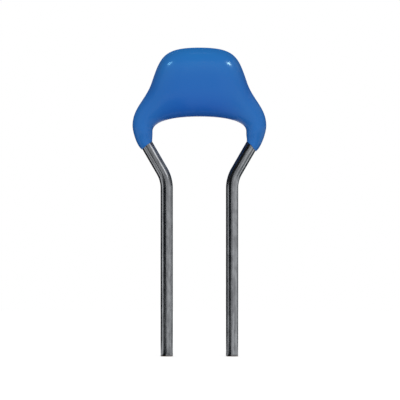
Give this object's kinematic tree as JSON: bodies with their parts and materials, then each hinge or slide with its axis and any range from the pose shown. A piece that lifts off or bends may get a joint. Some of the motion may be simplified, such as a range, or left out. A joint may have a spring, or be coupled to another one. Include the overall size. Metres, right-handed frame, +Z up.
{
  "type": "radial-lead ceramic capacitor",
  "caption": "Dipped multilayer ceramic capacitor: a small blue-coated chip on kinked, tinned wire leads that plug into a circuit board.",
  "frame": {"origin": "midway between the two leads, on the plane where their straight ends begin", "axes": "+Z up along the straight leads, towards the coated body; +X from the left lead to the right lead; +Y through the thickness, away from the viewer"},
  "size_m": [0.0052, 0.0022, 0.012],
  "materials": {
    "coat": "glossy dipped epoxy",
    "ceramic": "fired, unglazed",
    "electrode": "fired nickel film",
    "termination": "tin plate",
    "solder": "bright solder",
    "lead": "tinned, drawn"
  },
  "bodies": {
    "root": {"coating": "coat", "ceramic_block": "ceramic", "electrodes_left": "electrode", "electrodes_right": "electrode", "termination_left": "termination", "termination_right": "termination", "solder_left": "solder", "solder_right": "solder", "lead_left": "lead", "lead_right": "lead"}
  },
  "joints": []
}
